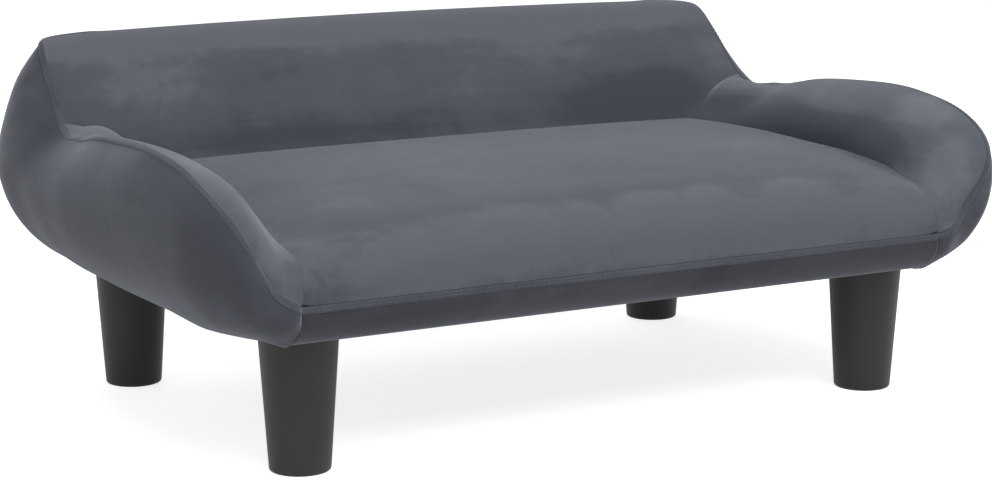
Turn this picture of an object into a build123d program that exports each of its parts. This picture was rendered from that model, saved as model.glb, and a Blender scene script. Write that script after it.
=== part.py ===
from build123d import *
import os
from math import acos, atan2, cos, radians, sin, tan

os.makedirs("parts", exist_ok=True)

# A small sofa-shaped bed for a dog, in millimetres: a padded seat between two low arms and a
# leaning backrest, all covered in cloth, on four tapered legs. +X is to the right of someone who
# faces the front, +Y runs to the back and +Z is up. The origin is on the floor under the middle.

# Overall sizes of the covered body
leg_height = 97.0
seam_half = 329.0
half_depth = 211.0
arm_rise = 129.5
back_rise = 179.5
crest = 2.5
seat_rise = 32.0

# Cloth, and the air between soft pieces
cloth = 1.5
clearance = 0.4
hem = 14.0
hem_per_lift = 0.85

# Outer panel of each arm: how far it swells out of the seam and tucks in below it
cheek_bulge = 38.7
cheek_tuck = 38.7
cheek_shoulder = 7.8
shoulder_drop = 5.8

# Legs, set in from the sides and the back of the frame
leg_side_inset = 30.5
leg_back_inset = 23.3
leg_foot_radius = 21.8
leg_top_radius = 28.4
leg_edge = 2.4

# Leg fastenings: a bolt up through the bottom cloth into a threaded insert in each corner block
bolt_radius = 4.0
bolt_depth = 32.0
insert_radius = 6.5
insert_height = 18.0
thread_gap = 0.1

# Wooden frame: its sides stand just outside the seat's creases, and its front and back are set
# in from the front seam and the back seam
frame_side_gap = 1.3
frame_front_inset = 22.1
frame_back_inset = 11.9
rail_height = 26.5
rail_thickness = 15.0
frame_corner = 26.0
front_edge = 9.0
block_size = 60.0
deck_thickness = 4.0
board_thickness = 6.0
board_lap = 15.0
arm_board_height = 63.0
arm_board_front_inset = 80.5
arm_board_back_inset = 7.0
back_board_height = 122.0
back_board_side_inset = 25.0
dust_cover_thickness = 0.8
dust_cover_side_inset = 15.0
dust_cover_front_inset = 14.5
dust_cover_back_inset = 9.0
dust_cover_corner = 12.0

# Levels that follow
frame_bottom = leg_height + cloth + clearance
rail_top = frame_bottom + rail_height
deck_top = rail_top + deck_thickness
board_foot = rail_top - board_lap
seat_level = leg_height + seat_rise

# Stations of the arm, from the notch beside the backrest to the corner of the front band. The
# seam between the outer panel and the arm's top panel passes through each one, at shares of
# seam_half, half_depth and arm_rise. Then the outer panel: its heading from +X towards the
# front, its bulge, the bulge's level, its tuck, the lift of its lower edge, its shoulder and
# the shoulder's drop, as shares of the outer panel's sizes and of arm_rise.
side_shares = [
    (0.947, 0.541, 0.910, 0, 0.92, 0.64, 0.78, 0.00, 1.60, 1.4),
    (0.956, 0.422, 0.869, 0, 0.88, 0.63, 0.78, 0.00, 1.60, 1.0),
    (0.965, 0.275, 0.896, 0, 0.82, 0.63, 0.80, 0.00, 1.50, 1.0),
    (0.982, 0.092, 0.955, 0, 0.70, 0.63, 0.88, 0.00, 1.35, 1.0),
    (0.994, -0.092, 0.985, 0, 0.60, 0.63, 0.95, 0.00, 1.12, 1.0),
    (1.000, -0.275, 1.000, 0, 0.55, 0.63, 1.00, 0.00, 1.00, 1.0),
    (1.000, -0.459, 0.995, 0, 0.55, 0.62, 1.08, 0.00, 1.00, 1.0),
    (0.997, -0.638, 0.963, 3, 0.53, 0.61, 1.20, 0.00, 1.00, 1.0),
    (0.994, -0.789, 0.899, 18, 0.44, 0.60, 1.30, 0.00, 1.00, 0.9),
    (0.982, -0.917, 0.802, 40, 0.25, 0.58, 1.40, 0.01, 0.69, 0.9),
    (0.960, -0.995, 0.679, 56, 0.11, 0.53, 1.35, 0.02, 0.35, 1.0),
    (0.926, -1.000, 0.515, 68, 0.075, 0.42, 0.95, 0.03, 0.25, 1.0),
    (0.879, -0.992, 0.343, 80, 0.050, 0.276, 0.70, 0.045, 0.12, 0.7),
    (0.826, -0.984, 0.246, 90, 0.025, 0.194, 0.50, 0.052, 0.09, 0.5),
]

# The outer panel goes on round the back corner below the ridge seam: the same columns, with the
# seam's height as a share of the rise from the notch to the top of the back.
corner_shares = [
    (0.942, 0.633, 0.290, -4, 0.96, 0.665, 0.78, 0.00, 1.00, 1.5),
    (0.940, 0.706, 0.556, -8, 1.01, 0.68, 0.83, 0.00, 0.88, 1.5),
    (0.934, 0.789, 0.841, -18, 1.00, 0.68, 0.83, 0.00, 0.75, 1.4),
    (0.922, 0.851, 0.952, -38, 0.90, 0.68, 0.80, 0.00, 0.75, 1.2),
    (0.898, 0.867, 0.972, -54, 0.86, 0.675, 0.60, 0.00, 0.88, 1.1),
    (0.862, 0.876, 0.984, -68, 0.81, 0.67, 0.36, 0.00, 1.00, 1.0),
    (0.825, 0.880, 0.994, -82, 0.75, 0.67, 0.17, 0.00, 1.00, 1.0),
    (0.788, 0.881, 1.000, -90, 0.72, 0.67, 0.10, 0.00, 1.00, 1.0),
    (0.750, 0.881, 1.003, -90, 0.72, 0.67, 0.10, 0.00, 1.00, 1.0),
]
ridge_leans = [0, 0, 0, 0, 8, 15, 40, 45, 45]
back_half_shares = [1.0, 0.5, 0.0, -0.5, -1.0]

# Top panel of the arm at the stations from the notch to the front: its crease with the seat, as
# shares of seam_half, half_depth and arm_rise, then the share of the way to the crease where the
# panel rolls over, how far it stands above the straight line there and the crown of its flat
# part, as shares of arm_puff and arm_crown, and the share of the way where its padding ends.
arm_shares = [
    (0.755, 0.459, 0.664, 0.52, 0.31, 0.25, 0.55),
    (0.776, 0.358, 0.657, 0.54, 0.30, 0.25, 0.56),
    (0.800, 0.239, 0.642, 0.625, 0.42, 0.25, 0.58),
    (0.821, 0.064, 0.631, 0.67, 0.72, 0.38, 0.62),
    (0.835, -0.110, 0.627, 0.70, 0.90, 0.50, 0.66),
    (0.838, -0.284, 0.623, 0.72, 1.00, 0.50, 0.68),
    (0.835, -0.440, 0.616, 0.72, 0.98, 0.50, 0.70),
    (0.832, -0.596, 0.597, 0.68, 0.84, 0.75, 0.70),
    (0.826, -0.711, 0.571, 0.65, 0.68, 1.00, 0.72),
    (0.821, -0.789, 0.545, 0.60, 0.45, 1.25, 0.74),
    (0.819, -0.862, 0.515, 0.56, 0.27, 1.25, 0.78),
    (0.813, -0.931, 0.470, 0.50, 0.13, 1.00, 0.80),
    (0.815, -0.977, 0.388, 0.41, 0.10, 0.38, 0.80),
    (0.817, -0.983, 0.276, 0.50, 0.02, 0.02, 0.80),
]
arm_puff = 19.5
arm_crown = 3.9
arm_tail = 29.0

# Seat: its profile from the front seam over the edge to the flat part, along the middle and
# along the arms, as shares of half_depth and pad_rise, and the rise where it meets the backrest
pad_rise = 49.0
middle_shares = [(-0.275, 1.176), (-0.853, 0.947), (-0.979, 0.373), (-0.986, 0.0)]
edge_shares = [(-0.275, 1.0), (-0.872, 0.696), (-0.981, 0.275), (-0.986, 0.0)]
middle_back_share = 1.17
edge_back_share = 1.118
seat_station_shares = [-1.05, -0.9, -0.6, 0.0, 0.6, 0.9, 1.05]
edge_power = 3
seat_crown = 1.2

# Backrest: its front face from the crease with the seat up to the ridge seam. Its stations are
# shares of the way from the middle to its sloping ends, with the ridge at each one as shares of
# half_depth and of the rise from the notch to the top, and its padding's rear foot.
back_foot_share = 0.436
back_foot_rise = 87.0
fold_depth = 13.5
fold_drop = 7.0
face_crown = 2.9
ridge_shares = [
    (1.0, 0.851, 0.952, 0.75),
    (0.93, 0.876, 0.984, 0.82),
    (0.84, 0.881, 1.001, 0.82),
    (0.45, 0.881, 1.029, 0.82),
    (0.0, 0.881, 1.041, 0.82),
]
beyond_end_share = 1.15
end_gap = 1.0
end_lean_share = 0.206
end_sweep_share = 0.285


up = Vector(0, 0, 1)
front = Vector(0, -1, 0)
notch_x = seam_half * side_shares[0][0]
notch_y = half_depth * side_shares[0][1]
notch_z = leg_height + arm_rise * side_shares[0][2]
back_top = leg_height + back_rise
soft = cloth + clearance
back_foot_y = half_depth * back_foot_share
crease_half = seam_half * max(row[0] for row in arm_shares)
frame_half_width = crease_half + frame_side_gap
frame_front = -half_depth * side_shares[-1][1] - frame_front_inset
frame_back = half_depth * corner_shares[-1][1] - frame_back_inset
leg_x = frame_half_width - leg_side_inset
leg_y = frame_back - leg_back_inset


def bow(start, end, heading):
    """Arc from start to end that sets off along heading: its points and its tangents there."""
    chord = end - start
    along = chord.normalized()
    heading = heading.normalized()
    side = (heading - along * along.dot(heading)).normalized()
    turn = acos(max(-1, min(1, along.dot(heading))))
    middle = (start + end) * 0.5 + side * (chord.length / 2 * tan(turn / 2))
    return [start, middle, end], [heading, along, along * cos(turn) - side * sin(turn)]


def crowned(start, end, crown, outside):
    """Arc from start to end that stands crown above its chord on the outside."""
    chord = end - start
    along = chord.normalized()
    side = (outside - along * along.dot(outside)).normalized()
    turn = 2 * atan2(2 * crown, chord.length)
    return bow(start, end, along * cos(turn) + side * sin(turn))


def chain(first, *stops):
    """Points and tangents of a first arc and of arcs that carry on smoothly to each stop."""
    points, tangents = first
    for stop in stops:
        more_points, more_tangents = bow(points[-1], stop, tangents[-1])
        points = points + more_points[1:]
        tangents = tangents + more_tangents[1:]
    return points, tangents


def backwards(run):
    points, tangents = run
    return points[::-1], [t * -1 for t in tangents[::-1]]


def surface_normals(runs, first_sweep, last_sweep):
    """Outward normals at the points of a row of sections, each a run of points and tangents.
    The sections go round with their inside on the right of each tangent as the row is walked."""
    normals = []
    for i, (points, tangents) in enumerate(runs):
        row = []
        for j, tangent in enumerate(tangents):
            sweep = first_sweep if i == 0 else last_sweep
            if 0 < i < len(runs) - 1:
                sweep = runs[i + 1][0][j] - runs[i - 1][0][j]
            row.append(tangent.cross(sweep).normalized())
        normals.append(row)
    return normals


def moved_in(points, normals, depth):
    return [p - n * depth for p, n in zip(points, normals)]


def arcs_through(points):
    return [Edge.make_three_point_arc(*points[i : i + 3]) for i in range(0, len(points) - 2, 2)]


def lines_through(*points):
    return [Edge.make_line(a, b) for a, b in zip(points, points[1:])]


def ring(points, *corners):
    """Closed wire: arcs through the points, then straight lines round the corners."""
    return Wire(arcs_through(points) + lines_through(points[-1], *corners, points[0]))


def cloth_ring(points, normals, tail=()):
    """Closed wire of a cloth's thickness under the points, with a straight tail at the start."""
    inner = moved_in(points, normals, cloth)
    inner_tail = [tail[0] + up * cloth] if tail else []
    edges = lines_through(*tail, points[0]) if tail else []
    edges += arcs_through(points) + lines_through(points[-1], inner[-1])
    edges += arcs_through(inner[::-1]) + lines_through(inner[0], *inner_tail, *tail[:1])
    if not tail:
        edges += lines_through(inner[0], points[0])
    return Wire(edges)


def both_sides(name, solid, color):
    """Writes a right-hand piece and its mirror image."""
    write("right_" + name, solid, color)
    write("left_" + name, solid.mirror(Plane.YZ), color)


def write(name, solids, color):
    shape = Compound(children=solids) if isinstance(solids, list) else solids
    shape.label = name
    shape.color = Color(color)
    export_step(shape, f"parts/{name}.step")


def box_between(low, high):
    """Box with one corner at low and the opposite one at high."""
    size = [b - a for a, b in zip(low, high)]
    return Box(*size, align=(Align.MIN, Align.MIN, Align.MIN)).moved(Location(low))


def upright(radius, bottom, top):
    """Cylinder on the Z axis from bottom to top."""
    align = (Align.CENTER, Align.CENTER, Align.MIN)
    return Cylinder(radius, top - bottom, align=align).moved(Location((0, 0, bottom)))


def largest(shape):
    return max(shape.solids(), key=lambda solid: solid.volume)


def station(x, y, z, low=leg_height, rise=arm_rise):
    return Vector(seam_half * x, half_depth * y, low + rise * z)


# Seam stations from the middle of the back corner to the front, with the outer panel's columns
seams = [station(*row[:3]) for row in side_shares]
corner_seams = [station(*row[:3], notch_z, back_top - notch_z) for row in corner_shares]
cheek_seams = corner_seams[::-1] + seams
cheek_rows = [row[3:] for row in corner_shares[::-1] + side_shares]


def cheek_run(seam, row):
    """Outer panel at one station, from its lower edge over the bulge up to the seam."""
    heading, bulge, bulge_level, tuck, lift, shoulder, drop = row
    out = Vector(cos(radians(heading)), -sin(radians(heading)), 0)
    ground = Vector(seam.X, seam.Y, leg_height)
    widest = ground + out * (cheek_bulge * bulge) + up * (arm_rise * bulge_level)
    foot = ground - out * (cheek_tuck * tuck) + up * (arm_rise * lift)
    edge = seam + out * (cheek_shoulder * shoulder) - up * (shoulder_drop * drop)
    return join(backwards(bow(widest, foot, up * -1)), chain(bow(widest, edge, up), seam))


def join(first, second):
    return first[0] + second[0][1:], first[1] + second[1][1:]


def arm_run(seam, row, outside):
    """Arm's top panel at one station, from the seam over the roll down to the crease."""
    crease = station(*row[:3])
    roll, puff, crown = row[3:6]
    middle = seam + (crease - seam) * roll + outside * (arm_puff * puff)
    return chain(crowned(seam, middle, arm_crown * crown, outside), crease)


def hem_end(points, row):
    """Inner end of the hem under the frame, shorter where the panel's edge is lifted."""
    heading, lift = row[0], points[0].Z - leg_height
    out = Vector(cos(radians(heading)), -sin(radians(heading)), 0)
    return Vector(points[0].X, points[0].Y, leg_height) - out * (hem - hem_per_lift * lift)


cheek_runs = [cheek_run(seam, row) for seam, row in zip(cheek_seams, cheek_rows)]
cheek_normals = surface_normals(cheek_runs, Vector(1, 0, 0), Vector(-1, 0, 0))

outsides = [up] * (len(seams) - 1) + [front]
arm_runs = [arm_run(*item) for item in zip(seams, arm_shares, outsides)]
tail_shift = Vector(0, arm_tail, 0)
arm_runs.insert(0, ([p + tail_shift for p in arm_runs[0][0]], arm_runs[0][1]))
arm_start = up.cross(arm_runs[0][0][-1] - arm_runs[0][0][0])
arm_end = front.cross(arm_runs[-1][0][-1] - arm_runs[-1][0][0])
arm_normals = surface_normals(arm_runs, arm_start, arm_end)

# Along the ridge the outer panel's edge follows the slope of the backrest's front face
for row, lean in zip(cheek_normals, ridge_leans):
    row[-1] = Vector(0, -sin(radians(lean)), cos(radians(lean)))

# The two panels share one mitred edge at the seam
for i in range(1, len(arm_runs)):
    cheek_row = cheek_normals[len(corner_seams) + i - 1]
    mitre = (cheek_row[-1] + arm_normals[i][0]).normalized()
    if i == len(arm_runs) - 1:
        mitre = front
    cheek_row[-1] = mitre
    arm_normals[i][0] = mitre


# Outer panels of the arms: cloth with a hem turned under, over padding
cheek_rings = []
cheek_pad_rings = []
for (points, _), normals, row in zip(cheek_runs, cheek_normals, cheek_rows):
    cheek_rings.append(cloth_ring(points, normals, (hem_end(points, row),)))
    cheek_pad_rings.append(ring(moved_in(points, normals, soft + clearance)))
cheek_cover = Solid.make_loft(cheek_rings)
cheek_pad = Solid.make_loft(cheek_pad_rings)

# Back panel: the last section of the outer panel carried straight across, higher in the middle
back_rings = []
back_pad_rings = []
back_points, _ = cheek_runs[0]
for share in back_half_shares:
    rise = crest * (1 - share * share)
    shift = Vector(back_points[0].X * (share - 1), 0, 0)
    points = [p + shift for p in back_points]
    points[-3:] = [p + up * rise for p in points[-3:]]
    back_rings.append(cloth_ring(points, cheek_normals[0], (hem_end(points, cheek_rows[0]),)))
    back_pad_rings.append(ring(moved_in(points, cheek_normals[0], soft)))
back_cover = Solid.make_loft(back_rings)
back_pad = Solid.make_loft(back_pad_rings)


# Backrest: a wedge whose ends slope with the outer panels' inner faces
def end_x(point, inset):
    lean = end_lean_share * (point.Z - notch_z) - end_sweep_share * (point.Y - notch_y)
    return notch_x + lean - inset


def wedge_run(y_share, z_share):
    """Front face of the backrest in the YZ plane, from its foot over the fold to the ridge."""
    ridge_y = half_depth * y_share - clearance
    ridge = Vector(0, ridge_y, notch_z + (back_top - notch_z) * z_share)
    foot = Vector(0, back_foot_y, leg_height + back_foot_rise)
    fold = ridge + Vector(0, -fold_depth, -fold_drop)
    points, tangents = chain(crowned(foot, fold, face_crown, front + up), ridge)
    normals = [t.cross(Vector(-1, 0, 0)) for t in tangents]
    normals[-1] = up
    return points, normals


def spread(points, share, inset):
    """The points of a section in the YZ plane moved out to a share of the sloping ends."""
    return [Vector(share * end_x(p, inset), p.Y, p.Z) for p in points]


def wedge(stations, depth, bottom, inset):
    """Solid under the front face moved in by depth, down to bottom and back to its rear foot."""
    rings = []
    for share, y_share, z_share, rear_share in stations:
        points = moved_in(*wedge_run(y_share, z_share), depth)
        low_rear = Vector(0, half_depth * rear_share, bottom)
        low_front = Vector(0, points[0].Y, bottom)
        corners = spread([low_rear, low_front], share, inset)
        rings.append(ring(spread(points, share, inset), *corners))
    return Solid.make_loft(rings)


ridge_stations = ridge_shares + [(-row[0], *row[1:]) for row in ridge_shares[-2::-1]]
backrest_rings = []
for share, y_share, z_share, _ in ridge_stations:
    points, normals = wedge_run(y_share, z_share)
    inner = moved_in(points, normals, cloth)
    edges = arcs_through(spread(points, share, end_gap))
    edges += lines_through(edges[-1] @ 1, *spread(inner[-1:], share, end_gap))
    edges += arcs_through(spread(inner[::-1], share, end_gap))
    edges += lines_through(edges[-1] @ 1, edges[0] @ 0)
    backrest_rings.append(Wire(edges))
backrest_cover = Solid.make_loft(backrest_rings)
backrest_pad = wedge(ridge_stations, soft, deck_top, soft + end_gap)
beyond = beyond_end_share
wide_stations = [(beyond, *ridge_shares[0][1:])] + ridge_stations + [(-beyond, *ridge_shares[0][1:])]
backrest_space = wedge(wide_stations, -clearance, rail_top, 0)


# Arms: cloth over the top and padding that stands on the deck
arm_rings = [cloth_ring(points, normals) for (points, _), normals in zip(arm_runs, arm_normals)]
arm_cover = Solid.make_loft(arm_rings)
arm_pad_rings = []
pad_shares = [arm_shares[0]] + arm_shares
for (points, _), normals, row in list(zip(arm_runs, arm_normals, pad_shares))[:-1]:
    depth = soft + 2 * clearance
    if row is pad_shares[-2]:
        normals = [normals[2]] * len(normals)
        depth = 2 * soft
    points = moved_in(points, normals, depth)
    crease_foot = Vector(points[-1].X, points[-1].Y, deck_top)
    outer_foot = points[0] + (points[-1] - points[0]) * row[6]
    outer_foot = Vector(outer_foot.X, outer_foot.Y, deck_top)
    arm_pad_rings.append(ring(points, crease_foot, outer_foot))
arm_pad = Solid.make_loft(arm_pad_rings)
arm_cover = largest(arm_cover - backrest_space)
arm_board = box_between(
    (frame_half_width, arm_board_front_inset - frame_front, board_foot),
    (
        frame_half_width + board_thickness,
        back_foot_y - arm_board_back_inset,
        board_foot + arm_board_height,
    ),
)
arm_pad = largest(arm_pad - backrest_space - arm_board)


# Seat: cloth and foam between the creases
def seat_run(share):
    """Seat's top at a share of crease_half, from the backrest forward and over the front edge."""
    blend = abs(share) ** edge_power
    back_share = middle_back_share + (edge_back_share - middle_back_share) * blend
    back = Vector(0, back_foot_y - clearance, seat_level + pad_rise * back_share)
    stops = []
    for (my, mz), (ey, ez) in zip(middle_shares, edge_shares):
        y = half_depth * (my + (ey - my) * blend)
        stops.append(Vector(0, y, seat_level + pad_rise * (mz + (ez - mz) * blend)))
    points, tangents = chain(crowned(back, stops[0], seat_crown, up), *stops[1:])
    shift = Vector(crease_half * share, 0, 0)
    return [p + shift for p in points], [t.cross(Vector(1, 0, 0)) for t in tangents]


seat_runs = [seat_run(share) for share in seat_station_shares]
seat_cover = Solid.make_loft([cloth_ring(points, normals) for points, normals in seat_runs])
seat_pad_rings = []
for points, normals in seat_runs:
    points = moved_in(points, normals, soft)
    low_front = Vector(points[-1].X, points[-1].Y, deck_top)
    low_back = Vector(points[0].X, points[0].Y, deck_top)
    seat_pad_rings.append(ring(points, low_front, low_back))
seat_pad = Solid.make_loft(seat_pad_rings)

# The space beside the seat: outside the arms' creases as seen from above
crease_plan = [Vector(p[-1].X - 2 * clearance, p[-1].Y, leg_height) for p, _ in arm_runs]
far_x = seam_half + hem
crease_edges = [
    Edge.make_spline([*crease_plan, crease_plan[-1] + front * hem]),
    *lines_through(
        crease_plan[-1] + front * hem,
        Vector(far_x, crease_plan[-1].Y - hem, leg_height),
        Vector(far_x, crease_plan[0].Y, leg_height),
        crease_plan[0],
    ),
]
beside_seat = Solid.extrude(Face(Wire(crease_edges)), up * back_rise)
beside_both = [beside_seat, beside_seat.mirror(Plane.YZ)]
seat_cover = largest(seat_cover - beside_both[0] - beside_both[1])
seat_pad = largest(seat_pad - beside_both[0] - beside_both[1])

# Front band below the seat's front seam: the outer panel's last section carried across
band_points, _ = cheek_runs[-1]
band_normals = cheek_normals[-1]
band_tail = hem_end(band_points, cheek_rows[-1])
band_width = Vector(-2 * band_points[0].X, 0, 0)
band_cover = Solid.extrude(Face(cloth_ring(band_points, band_normals, (band_tail,))), band_width)
pad_points = moved_in(band_points, band_normals, soft)
pad_back = -frame_front - clearance
band_pad_ring = ring(
    pad_points,
    Vector(pad_points[0].X, pad_back, pad_points[-1].Z),
    Vector(pad_points[0].X, pad_back, pad_points[0].Z),
)
band_pad = Solid.extrude(Face(band_pad_ring), band_width)

# Legs, each with a blind hole for its bolt, and the bolts and threaded inserts above them
leg_outline = Polyline(
    (0, 0), (leg_foot_radius, 0), (leg_top_radius, leg_height), (0, leg_height), close=True
)
leg = revolve(Plane.XZ * make_face(leg_outline), Axis.Z)
leg = fillet(leg.edges().group_by(Axis.Z)[0], leg_edge)
bolt_top = frame_bottom + insert_height
bolt_hole = upright(bolt_radius + thread_gap, leg_height - bolt_depth, bolt_top)
leg = leg - bolt_hole
bolt = upright(bolt_radius, leg_height - bolt_depth, bolt_top)
insert = upright(insert_radius, frame_bottom, bolt_top) - bolt_hole
insert_hole = upright(insert_radius, frame_bottom, bolt_top)


# Wooden frame: corner blocks with rails between them, a deck and the upright boards
def corner_block(reach):
    """Block in the corner at +X and +Y, rounded outside, with the hole for its insert."""
    block = box_between(
        (frame_half_width - block_size, reach - block_size, frame_bottom),
        (frame_half_width, reach, rail_top),
    )
    outer = block.edges().filter_by(Axis.Z).sort_by(Axis((0, 0, 0), (1, 1, 0)))[-1]
    block = fillet(outer, frame_corner)
    low_edge = block.edges().filter_by(Axis.X).group_by(Axis.Z)[0].sort_by(Axis.Y)[-1]
    return fillet(low_edge, front_edge) - insert_hole.moved(Location((leg_x, leg_y, 0)))


back_block = corner_block(frame_back)
front_block = corner_block(frame_front).mirror(Plane.XZ)
inner_half = frame_half_width - block_size
side_rail = box_between(
    (frame_half_width - rail_thickness, block_size - frame_front, frame_bottom),
    (frame_half_width, frame_back - block_size, rail_top),
)
back_rail = box_between(
    (-inner_half, frame_back - rail_thickness, frame_bottom), (inner_half, frame_back, rail_top)
)
front_rail = box_between(
    (-inner_half, -frame_front, frame_bottom), (inner_half, rail_thickness - frame_front, rail_top)
)
low_front_edge = front_rail.edges().filter_by(Axis.X).group_by(Axis.Z)[0].sort_by(Axis.Y)[0]
front_rail = fillet(low_front_edge, front_edge)
deck_outline = Rectangle(2 * frame_half_width, frame_front + frame_back)
deck_outline = fillet(deck_outline.vertices(), frame_corner)
deck = extrude(deck_outline, deck_thickness)
deck = deck.moved(Location((0, (frame_back - frame_front) / 2, rail_top)))
back_board_half = frame_half_width - back_board_side_inset
back_board = box_between(
    (-back_board_half, frame_back, board_foot),
    (back_board_half, frame_back + board_thickness, board_foot + back_board_height),
)
cheek_pad = largest(cheek_pad - backrest_cover)
left_cheek_pad = cheek_pad.mirror(Plane.YZ)
backrest_pad = largest(backrest_pad - back_board - back_pad - cheek_pad - left_cheek_pad)

# Thin cloth stapled under the frame, inside the hems
dust_half = frame_half_width - dust_cover_side_inset
dust_front = frame_front - dust_cover_front_inset
dust_back = frame_back - dust_cover_back_inset
dust_outline = Rectangle(2 * dust_half, dust_front + dust_back)
dust_outline = fillet(dust_outline.vertices(), dust_cover_corner)
dust_cover = extrude(dust_outline, dust_cover_thickness)
dust_cover = dust_cover.moved(Location((0, (dust_back - dust_front) / 2, leg_height)))

corners = {
    "front_right": (leg_x, -leg_y),
    "front_left": (-leg_x, -leg_y),
    "back_right": (leg_x, leg_y),
    "back_left": (-leg_x, leg_y),
}
blocks = {
    "front_right": front_block,
    "front_left": front_block.mirror(Plane.YZ),
    "back_right": back_block,
    "back_left": back_block.mirror(Plane.YZ),
}
places = [Location((x, y, 0)) for x, y in corners.values()]
for place in places:
    dust_cover = dust_cover - bolt_hole.moved(place)
for corner, place in zip(corners, places):
    write(f"{corner}_leg", leg.moved(place), "black")
    write(f"{corner}_corner_block", blocks[corner], "burlywood")
write("leg_bolts", [bolt.moved(place) for place in places], "gray")
write("leg_inserts", [insert.moved(place) for place in places], "goldenrod")

both_sides("side_rail", side_rail, "burlywood")
both_sides("arm_board", arm_board, "tan")
both_sides("arm_foam", arm_pad, "khaki")
both_sides("arm_cover", arm_cover, "slategray")
both_sides("cheek_foam", cheek_pad, "khaki")
both_sides("cheek_cover", cheek_cover, "slategray")
write("front_rail", front_rail, "burlywood")
write("back_rail", back_rail, "burlywood")
write("seat_deck", deck, "tan")
write("back_board", back_board, "tan")
write("dust_cover", dust_cover, "black")
write("seat_foam", seat_pad, "khaki")
write("seat_cover", seat_cover, "slategray")
write("backrest_foam", backrest_pad, "khaki")
write("backrest_cover", backrest_cover, "slategray")
write("back_foam", back_pad, "khaki")
write("back_cover", back_cover, "slategray")
write("front_band_foam", band_pad, "khaki")
write("front_band", band_cover, "slategray")
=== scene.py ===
import math

import bmesh
import bpy
import numpy as np
from mathutils import Matrix, Vector, kdtree
from mathutils.bvhtree import BVHTree
from mathutils.geometry import barycentric_transform


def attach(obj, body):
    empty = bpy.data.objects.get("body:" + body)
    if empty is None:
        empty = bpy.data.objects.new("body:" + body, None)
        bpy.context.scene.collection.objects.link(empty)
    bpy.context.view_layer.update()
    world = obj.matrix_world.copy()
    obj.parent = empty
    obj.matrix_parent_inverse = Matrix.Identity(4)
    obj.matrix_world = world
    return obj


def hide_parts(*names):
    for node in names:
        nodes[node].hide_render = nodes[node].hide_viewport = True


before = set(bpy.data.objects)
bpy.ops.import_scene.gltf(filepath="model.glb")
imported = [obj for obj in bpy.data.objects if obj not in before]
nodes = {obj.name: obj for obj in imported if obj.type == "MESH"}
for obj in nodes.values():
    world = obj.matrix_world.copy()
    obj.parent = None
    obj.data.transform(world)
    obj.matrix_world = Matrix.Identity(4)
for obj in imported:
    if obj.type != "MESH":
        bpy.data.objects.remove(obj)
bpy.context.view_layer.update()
bpy.context.scene.view_settings.view_transform = "Standard"

# The camera stands at the photograph's place: in front of the bed and to its left, a little above
# it, with a long lens.
camera_place = (-1.0203, -1.7542, 0.4942)
camera_turn = 30.168
camera_dip = 10.613
camera_lens = 95.3

bpy.ops.object.camera_add(
    location=camera_place,
    rotation=(math.radians(90 - camera_dip), 0, math.radians(-camera_turn)),
)
camera = bpy.context.object
camera.name = "camera"
camera.data.lens = camera_lens
camera.data.clip_start = 0.05
camera.data.clip_end = 60
bpy.context.scene.camera = camera

# The floor is a plain pale sheet, wide enough to reach past every view. To the camera it is white,
# and it keeps the bed's soft shadow.
floor_half_width = 6.0
floor_colour = (0.80, 0.80, 0.80, 1)
floor_glow = 0.80


def seen_by_lens(tree):
    """One where a surface is seen straight on, in a reflection or through glass, zero elsewhere."""
    path = tree.nodes.new("ShaderNodeLightPath")
    either = path.outputs["Is Camera Ray"]
    for way in ("Is Glossy Ray", "Is Transmission Ray"):
        larger = tree.nodes.new("ShaderNodeMath")
        larger.operation = "MAXIMUM"
        tree.links.new(either, larger.inputs[0])
        tree.links.new(path.outputs[way], larger.inputs[1])
        either = larger.outputs[0]
    return either


bpy.ops.object.select_all(action="DESELECT")
bpy.ops.mesh.primitive_plane_add(size=2 * floor_half_width, location=(0, 0, 0))
floor = bpy.context.object
floor.name = "floor"
floor_paint = bpy.data.materials.new("floor_paint")
floor_paint.use_nodes = True
paint = floor_paint.node_tree
paint.nodes.clear()
matt = paint.nodes.new("ShaderNodeBsdfDiffuse")
matt.inputs["Color"].default_value = floor_colour
glow = paint.nodes.new("ShaderNodeEmission")
glow.inputs["Strength"].default_value = floor_glow
lit = paint.nodes.new("ShaderNodeAddShader")
choice = paint.nodes.new("ShaderNodeMixShader")
paint_out = paint.nodes.new("ShaderNodeOutputMaterial")
paint.links.new(matt.outputs[0], lit.inputs[0])
paint.links.new(glow.outputs[0], lit.inputs[1])
paint.links.new(seen_by_lens(paint), choice.inputs[0])
paint.links.new(matt.outputs[0], choice.inputs[1])
paint.links.new(lit.outputs[0], choice.inputs[2])
paint.links.new(choice.outputs[0], paint_out.inputs["Surface"])
floor.data.materials.append(floor_paint)

# The light is a soft studio's: a wide lamp above and in front, weaker ones at the left and behind,
# and an even pale surround, which is white where the camera sees it.
surround_light = 0.32
surround_white = 1.0
world = bpy.data.worlds.new("studio")
bpy.context.scene.world = world
world.use_nodes = True
sky = world.node_tree
sky.nodes.clear()
sky_light = sky.nodes.new("ShaderNodeBackground")
sky_light.inputs["Color"].default_value = (1, 1, 1, 1)
sky_light.inputs["Strength"].default_value = surround_light
sky_white = sky.nodes.new("ShaderNodeBackground")
sky_white.inputs["Color"].default_value = (1, 1, 1, 1)
sky_white.inputs["Strength"].default_value = surround_white
sky_mix = sky.nodes.new("ShaderNodeMixShader")
sky_out = sky.nodes.new("ShaderNodeOutputWorld")
sky.links.new(seen_by_lens(sky), sky_mix.inputs[0])
sky.links.new(sky_light.outputs[0], sky_mix.inputs[1])
sky.links.new(sky_white.outputs[0], sky_mix.inputs[2])
sky.links.new(sky_mix.outputs[0], sky_out.inputs["Surface"])

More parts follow.
